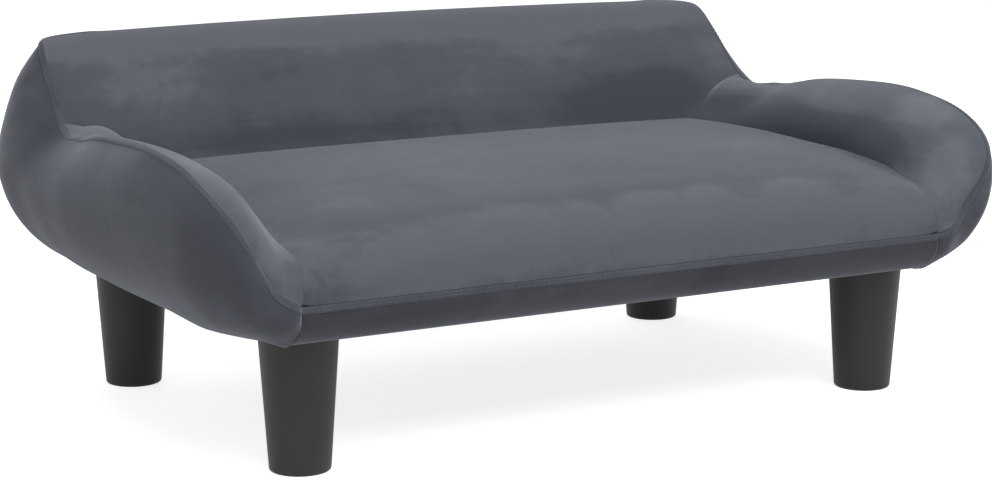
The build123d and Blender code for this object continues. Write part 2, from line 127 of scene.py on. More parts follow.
# name, place, point aimed at, side of the square lamp, watts
lamps = [
    ("lamp_top", (-0.1, -1.3, 2.1), (0.0, -0.05, 0.1), 2.0, 56),
    ("lamp_left", (-2.4, -0.9, 1.1), (0.0, 0.0, 0.15), 1.4, 5),
    ("lamp_back", (0.5, 1.6, 1.6), (0.0, 0.1, 0.2), 1.4, 8),
]
for name, place, aim, side, watts in lamps:
    bpy.ops.object.light_add(type="AREA", location=place)
    lamp = bpy.context.object
    lamp.name = name
    lamp.data.size = side
    lamp.data.energy = watts
    lamp.rotation_euler = (Vector(aim) - Vector(place)).to_track_quat("-Z", "Y").to_euler()

# The legs are four round tapered turnings of near-black plastic, with a fine satin grain and faint
# paler patches. Their CAD solids have the real shape and stay.
leg_colour = (0.017, 0.016, 0.018, 1)
leg_pale = (0.026, 0.025, 0.027, 1)


def plain_material(name, colour, worn, roughness, grain, grain_depth):
    """A finish whose colour drifts between two shades, with a fine grain of that many specks in a
    metre and that depth in its surface."""
    made = bpy.data.materials.new(name)
    made.use_nodes = True
    tree = made.node_tree
    shader = tree.nodes["Principled BSDF"]
    shader.inputs["Roughness"].default_value = roughness
    shader.inputs["Specular IOR Level"].default_value = 0.3
    place = tree.nodes.new("ShaderNodeTexCoord")
    cloud = tree.nodes.new("ShaderNodeTexNoise")
    cloud.inputs["Scale"].default_value = 14
    cloud.inputs["Detail"].default_value = 5
    shades = tree.nodes.new("ShaderNodeValToRGB")
    shades.color_ramp.elements[0].position = 0.42
    shades.color_ramp.elements[0].color = colour
    shades.color_ramp.elements[1].position = 0.72
    shades.color_ramp.elements[1].color = worn
    speck = tree.nodes.new("ShaderNodeTexNoise")
    speck.inputs["Scale"].default_value = grain
    speck.inputs["Detail"].default_value = 3
    bump = tree.nodes.new("ShaderNodeBump")
    bump.inputs["Strength"].default_value = 0.35
    bump.inputs["Distance"].default_value = grain_depth
    tree.links.new(place.outputs["Object"], cloud.inputs["Vector"])
    tree.links.new(place.outputs["Object"], speck.inputs["Vector"])
    tree.links.new(cloud.outputs["Fac"], shades.inputs["Fac"])
    tree.links.new(shades.outputs["Color"], shader.inputs["Base Color"])
    tree.links.new(speck.outputs["Fac"], bump.inputs["Height"])
    tree.links.new(bump.outputs["Normal"], shader.inputs["Normal"])
    return made


def finish_node(name, material):
    """Gives a CAD node that stays its material."""
    mesh = nodes[name].data
    mesh.materials.clear()
    mesh.materials.append(material)


leg_plastic = plain_material(
    "leg_plastic", leg_colour, leg_pale, roughness=0.55, grain=900, grain_depth=0.00012
)
for name in ("front_left_leg", "front_right_leg", "back_left_leg", "back_right_leg"):
    finish_node(name, leg_plastic)

# The frame inside is sawn softwood, four rails round four corner blocks, with plywood for the deck
# and the boards. Zinc-plated bolts and inserts hold the legs, and a thin black cloth is stapled
# below.
softwood_colour = (0.50, 0.36, 0.20, 1)
softwood_pale = (0.62, 0.47, 0.29, 1)
plywood_colour = (0.55, 0.42, 0.27, 1)
plywood_pale = (0.66, 0.53, 0.36, 1)
zinc_colour = (0.45, 0.45, 0.46, 1)
zinc_pale = (0.55, 0.55, 0.56, 1)
bottom_cloth_colour = (0.020, 0.020, 0.022, 1)
bottom_cloth_pale = (0.035, 0.035, 0.038, 1)
softwood = plain_material(
    "softwood", softwood_colour, softwood_pale, roughness=0.7, grain=300, grain_depth=0.0003
)
plywood = plain_material(
    "plywood", plywood_colour, plywood_pale, roughness=0.65, grain=260, grain_depth=0.0002
)
zinc = plain_material("zinc", zinc_colour, zinc_pale, roughness=0.35, grain=700, grain_depth=0.0001)
zinc.node_tree.nodes["Principled BSDF"].inputs["Metallic"].default_value = 1.0
bottom_cloth = plain_material(
    "bottom_cloth",
    bottom_cloth_colour,
    bottom_cloth_pale,
    roughness=0.95,
    grain=1500,
    grain_depth=0.0002,
)
for name in (
    "front_left_corner_block",
    "front_right_corner_block",
    "back_left_corner_block",
    "back_right_corner_block",
    "front_rail",
    "back_rail",
    "left_side_rail",
    "right_side_rail",
):
    finish_node(name, softwood)
for name in ("seat_deck", "left_arm_board", "right_arm_board", "back_board"):
    finish_node(name, plywood)
for name in ("leg_bolts", "leg_inserts"):
    finish_node(name, zinc)
finish_node("dust_cover", bottom_cloth)

# The cheeks are the arms' outer sides: one velvet panel each, drawn tight over a thick pad, that
# bulges below the seam with the arm's top and wraps round the front and the back corner. The lower
# edge is turned in under the frame as a flat hem.
velvet_dark = (0.040, 0.045, 0.056, 1)
velvet_mid = (0.062, 0.068, 0.082, 1)
velvet_light = (0.090, 0.097, 0.113, 1)
# streaks in a metre along x, y and z, for pile that runs across the bed or from back to front
run_across = (14, 60, 110)
run_back = (60, 14, 110)


def velvet_material(name, seed, run, painted_light_tone=1.0, painted_light_and_brushing=()):
    """Short-pile cloth: the pile lies in drifting patches, small marks and fine streaks that run
    one way, and each listed place, a centre, radii and strength, is painted paler or darker: partly
    brushed pile, partly painted light and painted shade."""
    made = bpy.data.materials.new(name)
    made.use_nodes = True
    tree = made.node_tree
    shader = tree.nodes["Principled BSDF"]
    shader.inputs["Roughness"].default_value = 0.85
    shader.inputs["Specular IOR Level"].default_value = 0.2
    shader.inputs["Sheen Weight"].default_value = 0.45
    shader.inputs["Sheen Roughness"].default_value = 0.4
    shader.inputs["Sheen Tint"].default_value = (0.66, 0.70, 0.78, 1)
    place = tree.nodes.new("ShaderNodeTexCoord").outputs["Object"]

    def noise(scale, detail, rough, bend):
        """A noise over the piece's own coordinates, shifted by the seed."""
        shift = tree.nodes.new("ShaderNodeMapping")
        shift.inputs["Location"].default_value = (seed * 1.7, seed * 0.9, seed * 2.3)
        shift.inputs["Scale"].default_value = scale
        made_noise = tree.nodes.new("ShaderNodeTexNoise")
        made_noise.inputs["Scale"].default_value = 1
        made_noise.inputs["Detail"].default_value = detail
        made_noise.inputs["Roughness"].default_value = rough
        made_noise.inputs["Distortion"].default_value = bend
        tree.links.new(place, shift.inputs["Vector"])
        tree.links.new(shift.outputs["Vector"], made_noise.inputs["Vector"])
        return made_noise.outputs["Fac"]

    def sum_of(first, second, gain):
        """first + second * gain."""
        step = tree.nodes.new("ShaderNodeMath")
        step.operation = "MULTIPLY_ADD"
        tree.links.new(second, step.inputs[0])
        step.inputs[1].default_value = gain
        tree.links.new(first, step.inputs[2])
        return step.outputs[0]

    # patches about 1/7 m wide, marks of 1/38 m, streaks along the run, and the pile itself
    patch = noise(scale=(7, 7, 7), detail=5, rough=0.58, bend=0.7)
    marks = noise(scale=(38, 38, 38), detail=5, rough=0.58, bend=1.2)
    streak = noise(scale=run, detail=5, rough=0.6, bend=0.2)
    pile = noise(scale=(1300, 1300, 1300), detail=2, rough=0.6, bend=0)
    shade = sum_of(patch, marks, gain=0.34)
    shade = sum_of(shade, streak, gain=0.30)
    shade = sum_of(shade, pile, gain=0.16)
    # each place paints a ragged patch, paler where its strength is above 0 and darker below: painted light
    # and painted shade, with some brushed pile
    for centre, radii, strength in painted_light_and_brushing:
        spot = tree.nodes.new("ShaderNodeMapping")
        spot.inputs["Scale"].default_value = [1 / radius for radius in radii]
        spot.inputs["Location"].default_value = [-c / r for c, r in zip(centre, radii)]
        ball = tree.nodes.new("ShaderNodeTexGradient")
        ball.gradient_type = "SPHERICAL"
        soft = tree.nodes.new("ShaderNodeMapRange")
        soft.interpolation_type = "SMOOTHSTEP"
        ragged = tree.nodes.new("ShaderNodeMath")
        ragged.operation = "MULTIPLY"
        tree.links.new(place, spot.inputs["Vector"])
        tree.links.new(spot.outputs["Vector"], ball.inputs["Vector"])
        tree.links.new(ball.outputs["Fac"], soft.inputs["Value"])
        tree.links.new(soft.outputs["Result"], ragged.inputs[0])
        tree.links.new(marks, ragged.inputs[1])
        shade = sum_of(shade, ragged.outputs[0], gain=strength)
        shade = sum_of(shade, soft.outputs["Result"], gain=strength / 2)

    # a colour ramp ends at 1, so the shade and the three levels on the ramp are halved
    levels = ((0.62, velvet_dark), (0.90, velvet_mid), (1.24, velvet_light))
    halved = tree.nodes.new("ShaderNodeMath")
    halved.operation = "MULTIPLY"
    halved.inputs[1].default_value = 0.5
    tree.links.new(shade, halved.inputs[0])
    shades = tree.nodes.new("ShaderNodeValToRGB")
    ramp = shades.color_ramp
    ramp.interpolation = "EASE"
    middle_stop = ramp.elements.new(0.5)
    stops = (ramp.elements[0], middle_stop, ramp.elements[-1])
    for stop, (level, colour) in zip(stops, levels):
        # the tone scales every shade: above 1 it paints the whole panel paler as painted light, below 1
        # darker as painted shade
        stop.color = [part * painted_light_tone for part in colour[:3]] + [1]
        stop.position = level / 2
    bump = tree.nodes.new("ShaderNodeBump")
    bump.inputs["Strength"].default_value = 0.5
    bump.inputs["Distance"].default_value = 0.0003
    soft_bump = tree.nodes.new("ShaderNodeBump")
    soft_bump.inputs["Strength"].default_value = 0.12
    soft_bump.inputs["Distance"].default_value = 0.002
    tree.links.new(halved.outputs[0], shades.inputs["Fac"])
    tree.links.new(shades.outputs["Color"], shader.inputs["Base Color"])
    tree.links.new(marks, soft_bump.inputs["Height"])
    tree.links.new(pile, bump.inputs["Height"])
    tree.links.new(soft_bump.outputs["Normal"], bump.inputs["Normal"])
    tree.links.new(bump.outputs["Normal"], shader.inputs["Normal"])
    return made


def alone(piece):
    """Makes one object the only one selected, and the active one."""
    bpy.ops.object.select_all(action="DESELECT")
    piece.select_set(True)
    bpy.context.view_layer.objects.active = piece


# corners of a CAD cover nearer than this are one corner, and its outer side ends where two faces
# meet at more than this angle
same_corner = 0.000002
flat_angle = math.radians(30)


def copied(name, node_name):
    """A new object from a copy of a CAD node, with its doubled corners merged."""
    piece = bpy.data.objects.new(name, nodes[node_name].data.copy())
    piece.data.transform(nodes[node_name].matrix_world)
    bpy.context.collection.objects.link(piece)
    piece.data.materials.clear()
    alone(piece)
    bpy.ops.object.mode_set(mode="EDIT")
    bpy.ops.mesh.select_all(action="SELECT")
    bpy.ops.mesh.remove_doubles(threshold=same_corner)
    bpy.ops.object.mode_set(mode="OBJECT")
    return piece


def outer_side(name, cover, seed):
    """One side of a cover: the faces reached over no edge from the one that is nearest the seed
    and turned to it."""
    piece = copied(name, cover)
    seed = Vector(seed)
    turned = [face for face in piece.data.polygons if face.normal.dot(seed - face.center) > 0]
    nearest = min(turned, key=lambda face: (face.center - seed).length)
    for face in piece.data.polygons:
        face.select = face.index == nearest.index
    bpy.context.tool_settings.mesh_select_mode = (False, False, True)
    bpy.ops.object.mode_set(mode="EDIT")
    bpy.ops.mesh.faces_select_linked_flat(sharpness=flat_angle)
    bpy.ops.mesh.select_all(action="INVERT")
    bpy.ops.mesh.delete(type="FACE")
    bpy.ops.object.mode_set(mode="OBJECT")
    return piece


def rim(piece):
    """The vertices round the edge of an open sheet, in order."""
    shape = bmesh.new()
    shape.from_mesh(piece.data)
    follows = {}
    for edge in shape.edges:
        if len(edge.link_loops) == 1:
            loop = edge.link_loops[0]
            follows[loop.vert.index] = loop.link_loop_next.vert.index
    shape.free()
    loops = []
    while follows:
        start = min(follows)
        order = [start]
        while order[-1] in follows:
            order.append(follows.pop(order[-1]))
        loops.append(order[:-1])
    return max(loops, key=len)


longest_edge = 0.007
halvings = 8


def split_long(piece):
    """Makes a sheet all triangles and halves its long edges until none is longer than a cell."""
    shape = bmesh.new()
    shape.from_mesh(piece.data)
    bmesh.ops.triangulate(shape, faces=shape.faces[:])
    for _ in range(halvings):
        long_edges = [edge for edge in shape.edges if edge.calc_length() > longest_edge]
        bmesh.ops.subdivide_edges(shape, edges=long_edges, cuts=1)
        bmesh.ops.triangulate(shape, faces=[face for face in shape.faces if len(face.verts) > 3])
    shape.to_mesh(piece.data)
    shape.free()


def side_lengths(points):
    """How far along a row of points each one lies, from 0 to the row's length."""
    steps = np.linalg.norm(np.diff(points, axis=0), axis=1)
    return np.concatenate([[0.0], np.cumsum(steps)])


def four_sides(points, order, corner_ways):
    """A rim's four sides, each a row of vertices, between its furthest points in four ways."""
    marks = [int(np.argmax(points[order] @ way)) for way in np.array(corner_ways, float)]
    order = order[marks[0] :] + order[: marks[0]]
    turns = [(mark - marks[0]) % len(order) for mark in marks]
    if turns[1] > turns[3]:
        order = order[:1] + order[:0:-1]
        turns = [(len(order) - turn) % len(order) for turn in turns]
    stops = turns + [len(order)]
    loop = order + order[:1]
    return [loop[a : b + 1] for a, b in zip(stops, stops[1:])]


def square_border(sides, shares):
    """The four sides' vertices, and their places round a unit square."""
    border, places = [], []
    for number, (side, share) in enumerate(zip(sides, shares)):
        for vertex, value in zip(side[:-1], share[:-1]):
            border.append(vertex)
            places.append([(0, value), (value, 1), (1, 1 - value), (1 - value, 0)][number])
    return np.array(border), np.array(places, float)


def side_and_share(i, j, columns, rows):
    """Which side of a panel a corner of its grid's rim lies on, and how far along that side."""
    if i == 0:
        return 0, j / rows
    if i == columns:
        return 2, 1 - j / rows
    if j == rows:
        return 1, i / columns
    return 3, 1 - i / columns


# a triangle's pull on its edges is kept between two bounds, and the solver stops after so many
# steps or when so little pull is left
least_area = 1e-12
weakest_pull = 0.05
strongest_pull = 20
solver_steps = 3000
solver_rest = 1e-14


def spread_flat(points, triangles, border, border_places):
    """Places in a unit square for all points of a sheet, with its border's places given."""
    starts, ends, weights = [], [], []
    for a, b, c in ((0, 1, 2), (1, 2, 0), (2, 0, 1)):
        one, two, top = (points[triangles[:, k]] for k in (a, b, c))
        along, across = one - top, two - top
        area = np.maximum(np.linalg.norm(np.cross(along, across), axis=1), least_area)
        cotangent = np.clip((along * across).sum(axis=1) / area, weakest_pull, strongest_pull)
        starts += [triangles[:, a], triangles[:, b]]
        ends += [triangles[:, b], triangles[:, a]]
        weights += [cotangent, cotangent]
    starts, ends, weights = map(np.concatenate, (starts, ends, weights))
    count = len(points)
    total = np.bincount(starts, weights, count)
    free = np.ones(count, bool)
    free[border] = False
    places = np.zeros((count, 2))
    places[border] = border_places

    def pull(values):
        """What each point is still pulled by."""
        return total * values - np.bincount(starts, weights * values[ends], count)

    for axis in range(2):
        value = places[:, axis].copy()
        rest = np.where(free, -pull(value), 0.0)
        ready = rest / total
        step = ready.copy()
        size = rest @ ready
        for _ in range(solver_steps):
            if size < solver_rest:
                break
            pulled = np.where(free, pull(step), 0.0)
            reach = size / (step @ pulled)
            value += reach * step
            rest -= reach * pulled
            ready = rest / total
            grown = rest @ ready
            step = ready + grown / size * step
            size = grown
        places[:, axis] = value
    return places


# a panel has at least this many cells each way, and triangles smaller than this on the unit square
# are passed over
fewest_cells = 4
smallest_area = 1e-9


def panel_grid(name, cover, seed, corner_ways, cell):
    """A sewn panel as an even grid of quads over the outer side of a CAD cover, with its UV map in
    metres along and across. Its corners are the rim's furthest points in the four ways given."""
    sheet = outer_side(name, cover, seed)
    split_long(sheet)
    points = np.array([vertex.co[:] for vertex in sheet.data.vertices])
    triangles = np.array([face.vertices[:] for face in sheet.data.polygons])
    sides = four_sides(points, rim(sheet), corner_ways)
    lengths = [side_lengths(points[side]) for side in sides]
    shares = [length / length[-1] for length in lengths]
    across = max(lengths[0][-1], lengths[2][-1])
    along = max(lengths[1][-1], lengths[3][-1])
    rows = max(fewest_cells, round(across / cell))
    columns = max(fewest_cells, round(along / cell))

    places = spread_flat(points, triangles, *square_border(sides, shares))
    one, two, three = (places[triangles[:, k]] for k in range(3))
    (a, b), (c, d) = (two - one).T, (three - one).T
    triangles = triangles[np.abs(a * d - b * c) > smallest_area]
    flat = [Vector((u, v, 0)) for u, v in places]
    solid = [Vector(point) for point in points]
    finder = BVHTree.FromPolygons(flat, [tuple(map(int, face)) for face in triangles])
    corners = []
    for i in range(columns + 1):
        for j in range(rows + 1):
            if i in (0, columns) or j in (0, rows):
                k, value = side_and_share(i, j, columns, rows)
                place = [np.interp(value, shares[k], points[sides[k]][:, axis]) for axis in range(3)]
                corners.append(Vector(place))
                continue
            u, v = i / columns, j / rows
            hit, _, face, _ = finder.ray_cast(Vector((u, v, 1)), Vector((0, 0, -1)))
            if hit is None:
                hit, _, face, _ = finder.find_nearest(Vector((u, v, 0)))
            three = [int(corner) for corner in triangles[face]]
            corners.append(
                barycentric_transform(hit, *(flat[c] for c in three), *(solid[c] for c in three))
            )

    quads = []
    for i in range(columns):
        for j in range(rows):
            first = i * (rows + 1) + j
            quads.append((first, first + 1, first + rows + 2, first + rows + 1))
    outward = sum((face.normal * face.area for face in sheet.data.polygons), Vector())
    facing = Vector()
    for quad in quads:
        a, b, c, d = (corners[k] for k in quad)
        facing += (c - a).cross(d - b)
    if facing.dot(outward) < 0:
        quads = [quad[::-1] for quad in quads]
    grid = bpy.data.meshes.new(name)
    grid.from_pydata(corners, [], quads)
    layer = grid.uv_layers.new(name="cut")
    for loop in grid.loops:
        i, j = divmod(loop.vertex_index, rows + 1)
        layer.data[loop.index].uv = (i / columns * along, j / rows * across)
    old = sheet.data
    sheet.data = grid
    bpy.data.meshes.remove(old)
    return sheet, columns, rows


pad_pressure = 14.0
pad_frames = 20
swell_passes = 6
edge_fade = 0.022


def swollen(piece, columns, rows, swell):
    """Swells a panel sewn down round its edge with the cloth solver. Of each move only the even
    part outwards is kept, up to the swell given, and it fades out towards the seams."""
    count = len(piece.data.vertices)
    rest = np.array([vertex.co[:] for vertex in piece.data.vertices])
    normals = np.array([vertex.normal[:] for vertex in piece.data.vertices])
    across, along = np.arange(count) % (rows + 1), np.arange(count) // (rows + 1)
    edge = np.flatnonzero((along == 0) | (along == columns) | (across == 0) | (across == rows))
    near = kdtree.KDTree(len(edge))
    for number in edge:
        near.insert(Vector(rest[number]), int(number))
    near.balance()
    pins = piece.vertex_groups.new(name="sewn")
    pins.add([int(number) for number in edge], 1.0, "REPLACE")
    alone(piece)
    cloth = piece.modifiers.new("Cloth", "CLOTH")
    cloth.settings.quality = 6
    cloth.settings.mass = 0.3
    cloth.settings.tension_stiffness = 12
    cloth.settings.compression_stiffness = 12
    cloth.settings.shear_stiffness = 6
    cloth.settings.bending_stiffness = 0.4
    cloth.settings.use_pressure = True
    cloth.settings.uniform_pressure_force = pad_pressure
    cloth.settings.vertex_group_mass = "sewn"
    cloth.settings.effector_weights.gravity = 0
    cloth.point_cache.frame_start = 1
    cloth.point_cache.frame_end = pad_frames
    for number in range(1, pad_frames + 1):
        bpy.context.scene.frame_set(number)
    bpy.ops.object.modifier_apply(modifier="Cloth")
    bpy.context.scene.frame_set(1)
    moved = np.array([vertex.co[:] for vertex in piece.data.vertices])
    rise = ((moved - rest) * normals).sum(axis=1).reshape(columns + 1, rows + 1)
    rise = np.clip(rise, 0, swell)
    for _ in range(swell_passes):
        wide = np.pad(rise, 1, mode="edge")
        rise = (wide[:-2, 1:-1] + wide[2:, 1:-1] + wide[1:-1, :-2] + wide[1:-1, 2:] + rise) / 5
    for number, vertex in enumerate(piece.data.vertices):
        reach = min(1.0, near.find(Vector(rest[number]))[2] / edge_fade)
        fade = reach * reach * (3 - 2 * reach)
        vertex.co = rest[number] + normals[number] * rise.flat[number] * fade


def grid_of(piece, columns, rows):
    """The places of a panel's vertices, by column and row."""
    places = np.array([vertex.co[:] for vertex in piece.data.vertices])
    return places.reshape(columns + 1, rows + 1, 3)


def set_grid(piece, grid):
    """Moves a panel's vertices to a grid's places."""
    for vertex, place in zip(piece.data.vertices, grid.reshape(-1, 3)):
        vertex.co = place


def straighten_foot(grid, foot_start):
    """Draws a panel's foot in one line across the bed, in front of where it starts to turn."""
    foot = np.flatnonzero(grid[:, -1, 1] < foot_start)
    grid[foot, -1, 0] = np.linspace(grid[foot[0], -1, 0], grid[foot[-1], -1, 0], len(foot))


def ease(grid, centre, radii, passes):
    """Evens out a panel round a place."""
    off = np.linalg.norm((grid - centre) / radii, axis=2)
    share = np.clip(1 - off * off, 0, 1)[1:-1, 1:-1, None] ** 2
    for _ in range(passes):
        around = grid[:-2, 1:-1] + grid[2:, 1:-1] + grid[1:-1, :-2] + grid[1:-1, 2:]
        grid[1:-1, 1:-1] += share * (around / 4 - grid[1:-1, 1:-1])


def lift(grid, centre, radii, height):
    """Lifts a panel round a place, or sinks it where the height is less than 0."""
    off = np.linalg.norm((grid - centre) / radii, axis=2)
    rise = height * np.clip(1 - off * off, 0, 1) ** 2
    column, row = np.indices(rise.shape)
    last_column, last_row = rise.shape[0] - 1, rise.shape[1] - 1
    inside = np.minimum(np.minimum(row, last_row - row), np.minimum(column, last_column - column))
    grid[..., 2] += rise * np.clip(inside / 2, 0, 1)


meeting_reach = 0.003
meeting_stops = 8


def resampled(row, along, stops):
    """A row of vectors read at other distances along it."""
    return np.stack([np.interp(stops, along, row[:, axis]) for axis in range(3)], axis=1)


def met(edge, others):
    """An edge row whose places move onto the nearest place of another panel's edge, if close."""
    along = side_lengths(others)
    line = resampled(others, along, np.linspace(0, along[-1], meeting_stops * len(others)))
    apart = np.linalg.norm(edge[:, None] - line[None], axis=2)
    near = line[apart.argmin(axis=1)]
    share = np.clip(2 - apart.min(axis=1) / meeting_reach, 0, 1)[:, None]
    return edge + share * (near - edge)


# the foot under the front strip: how far it is rounded down, where that starts and ends from front
# to back, the height below which it acts, and how far to each side it reaches
foot_round = 0.005
foot_front = -0.206
foot_middle = -0.1883
foot_back = -0.177
foot_bend = 1.3
foot_top = 0.118
foot_blend = 0.008
foot_side = 0.292
foot_side_blend = 0.020


def round_foot(grid):
    """Rounds what a panel has of the bed's front foot."""
    y, z = grid[..., 1], grid[..., 2]
    ahead = np.clip((y - foot_front) / (foot_middle - foot_front), 0, 1) ** foot_bend
    behind = np.clip((foot_back - y) / (foot_back - foot_middle), 0, 1)
    low = np.clip((foot_top - z) / foot_blend, 0, 1)
    beside = np.clip((foot_side - np.abs(grid[..., 0])) / foot_side_blend, 0, 1)
    grid[..., 2] -= foot_round * np.minimum(ahead, behind) * low * beside


turn_depth = 0.005
rim_crease = 1.0
drop_front = -0.206
drop_fade = 0.045
most_vertices = 100000


def vertex_order(part):
    """A number that orders a mesh's edges or faces by their three lowest vertices."""
    order = 0
    for index in sorted(vertex.index for vertex in part.verts)[:3]:
        order = order * most_vertices + index
    return order


def turned_in(piece, columns, rows, drops):
    """Turns a panel's edge into the seam all round, straight into the bed. The sides named in
    drops run on down instead, behind what they meet."""
    shape = bmesh.new()
    shape.from_mesh(piece.data)
    shape.normal_update()
    shape.verts.ensure_lookup_table()
    crease = shape.edges.layers.float.new("crease_edge")
    corner_crease = shape.verts.layers.float.new("crease_vert")
    for number in (0, rows, columns * (rows + 1), (columns + 1) * (rows + 1) - 1):
        shape.verts[number][corner_crease] = rim_crease
    rim_edges = [edge for edge in shape.edges if len(edge.link_faces) == 1]
    for edge in rim_edges:
        edge[crease] = rim_crease
    ways = {}
    for number, vertex in enumerate(shape.verts):
        i, j = divmod(number, rows + 1)
        way = -vertex.normal * turn_depth
        sides = (("first column", i == 0), ("first row", j == 0), ("last row", j == rows))
        for side, lies_on_it in sides:
            if lies_on_it and side in drops:
                share = min(1.0, max(0.0, (vertex.co.y - drop_front) / drop_fade))
                way = way.lerp(Vector((0, 0, -drops[side])), share)
        ways[tuple(vertex.co)] = way
    grown = bmesh.ops.extrude_edge_only(shape, edges=rim_edges)
    for part in grown["geom"]:
        if isinstance(part, bmesh.types.BMVert):
            part.co += ways[tuple(part.co)]
    # the new edges and faces come in no fixed order, so they are put in one
    shape.verts.index_update()
    shape.edges.sort(key=vertex_order)
    shape.faces.sort(key=vertex_order)
    shape.to_mesh(piece.data)
    shape.free()


# the hem is what faces down; beside the frame it is only what lies quite flat, and there it ends
# where the cheek's foot turns to the front
hem_facing = -0.6
hem_flat_facing = -0.97
hem_side = 0.262
hem_front = -0.128


def join_hem(piece, cover, seed):
    """Joins the hem under the frame, a strip of the same CAD cover, to its panel."""
    hem = outer_side(piece.name + "_hem", cover, seed)
    for face in hem.data.polygons:
        beside = abs(face.center.x) > hem_side
        facing = hem_flat_facing if beside else hem_facing
        face.select = (beside and face.center.y < hem_front) or face.normal.z > facing
    bpy.ops.object.mode_set(mode="EDIT")
    bpy.ops.mesh.delete(type="FACE")
    bpy.ops.object.mode_set(mode="OBJECT")
    piece.select_set(True)
    bpy.context.view_layer.objects.active = piece
    bpy.ops.object.join()


cloth_depth = 0.0014
cloth_smooth_angle = math.radians(50)
# the grids of the panels sewn so far, which the next panels and the felled seam are sewn to
panels = {}


def stand_for(piece, cover, foam):
    """Says that a velvet panel stands for its CAD cover and for the foam under it."""
    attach(piece, "root")
    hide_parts(cover, foam)


def sewn(
    name,
    cover,
    foam,
    seed,
    corner_ways,
    cell,
    swell,
    foot_start=None,
    eases=(),
    lifts=(),
    meets=(),
    drops=(),
    hem_seed=None,
):
    """A stuffed velvet panel in the place of a CAD cover: an even grid, swollen, eased and lifted
    where that is asked for, sewn to the edges it meets, turned in, and given the cloth's depth."""
    piece, columns, rows = panel_grid(name, cover, seed, corner_ways, cell)
    swollen(piece, columns, rows, swell)
    if eases:
        grid = grid_of(piece, columns, rows)
        straighten_foot(grid, foot_start)
        for place in eases:
            ease(grid, *place)
        set_grid(piece, grid)
    for place in lifts:
        grid = grid_of(piece, columns, rows)
        lift(grid, *place)
        set_grid(piece, grid)
    grid = grid_of(piece, columns, rows)
    for edge_row, others in meets:
        grid[edge_row] = met(grid[edge_row], others)
    round_foot(grid)
    set_grid(piece, grid)
    panels[name] = grid
    turned_in(piece, columns, rows, drops)
    alone(piece)
    finer = piece.modifiers.new("finer", "SUBSURF")
    finer.levels = 1
    finer.render_levels = 1
    bpy.ops.object.modifier_apply(modifier="finer")
    if hem_seed:
        join_hem(piece, cover, hem_seed)
    thick = piece.modifiers.new("thick", "SOLIDIFY")
    thick.thickness = cloth_depth
    thick.offset = -1
    bpy.ops.object.modifier_apply(modifier="thick")
    piece.vertex_groups.clear()
    bpy.ops.object.shade_smooth_by_angle(angle=cloth_smooth_angle)
    stand_for(piece, cover, foam)
    return piece


def mirror_piece(name, other, cover, foam):
    """The same panel on the bed's other side, in the place of that side's cover."""
    mesh = bpy.data.objects[other].data.copy()
    mesh.transform(Matrix.Scale(-1, 4, (1, 0, 0)))
    mesh.flip_normals()
    mesh.materials.clear()
    piece = bpy.data.objects.new(name, mesh)
    bpy.context.collection.objects.link(piece)
    panels[name] = panels[other] * (-1, 1, 1)
    stand_for(piece, cover, foam)
    return piece


# the left cheek's places, and the right one is its mirror image: an ease has a centre, radii and
# passes, and a lift a centre, radii and a height
left_cheek = sewn(
    "left_cheek",
    "left_cheek_cover",
    "left_cheek_foam",
    seed=(-0.37, 0.0, 0.16),
    corner_ways=((1, 0, 1), (1, 0.5, -1), (1, -1, -1), (2, -1, 1)),
    cell=0.005,
    swell=0.0025,
    foot_start=-0.127,
    eases=[
        ((-0.325, 0.085, 0.212), (0.06, 0.13, 0.055), 60),
        ((-0.338, 0.0, 0.212), (0.05, 0.10, 0.05), 30),
        ((-0.283, -0.168, 0.098), (0.045, 0.06, 0.035), 80),
    ],
    lifts=[((-0.300, -0.15, 0.105), (0.045, 0.09, 0.03), -0.0035)],
    hem_seed=(-0.295, 0.0, 0.09),
)
right_cheek = mirror_piece("right_cheek", "left_cheek", "right_cheek_cover", "right_cheek_foam")
for cheek, side in ((right_cheek, 1), (left_cheek, -1)):
    # painted light on the cheek: darker patches below the seam and by the notch as painted shade, paler
    # ones at the rear bulge and near the front as painted highlight
    cheek_painted_light = [
        ((side * 0.335, 0.09, 0.195), (0.06, 0.06, 0.06), -0.5),
        ((side * 0.340, 0.015, 0.205), (0.035, 0.07, 0.035), -0.6),
        ((side * 0.33, 0.19, 0.19), (0.08, 0.07, 0.10), 0.6),
        ((side * 0.345, -0.05, 0.15), (0.07, 0.13, 0.08), -0.35),
        ((side * 0.35, -0.16, 0.17), (0.04, 0.07, 0.07), 0.15),
    ]
    # the cheeks' colour is painted darker overall, as painted shade on their sides
    cheek.data.materials.append(
        velvet_material("velvet_" + cheek.name, seed=1, run=run_back, painted_light_tone=0.80, painted_light_and_brushing=cheek_painted_light)
    )

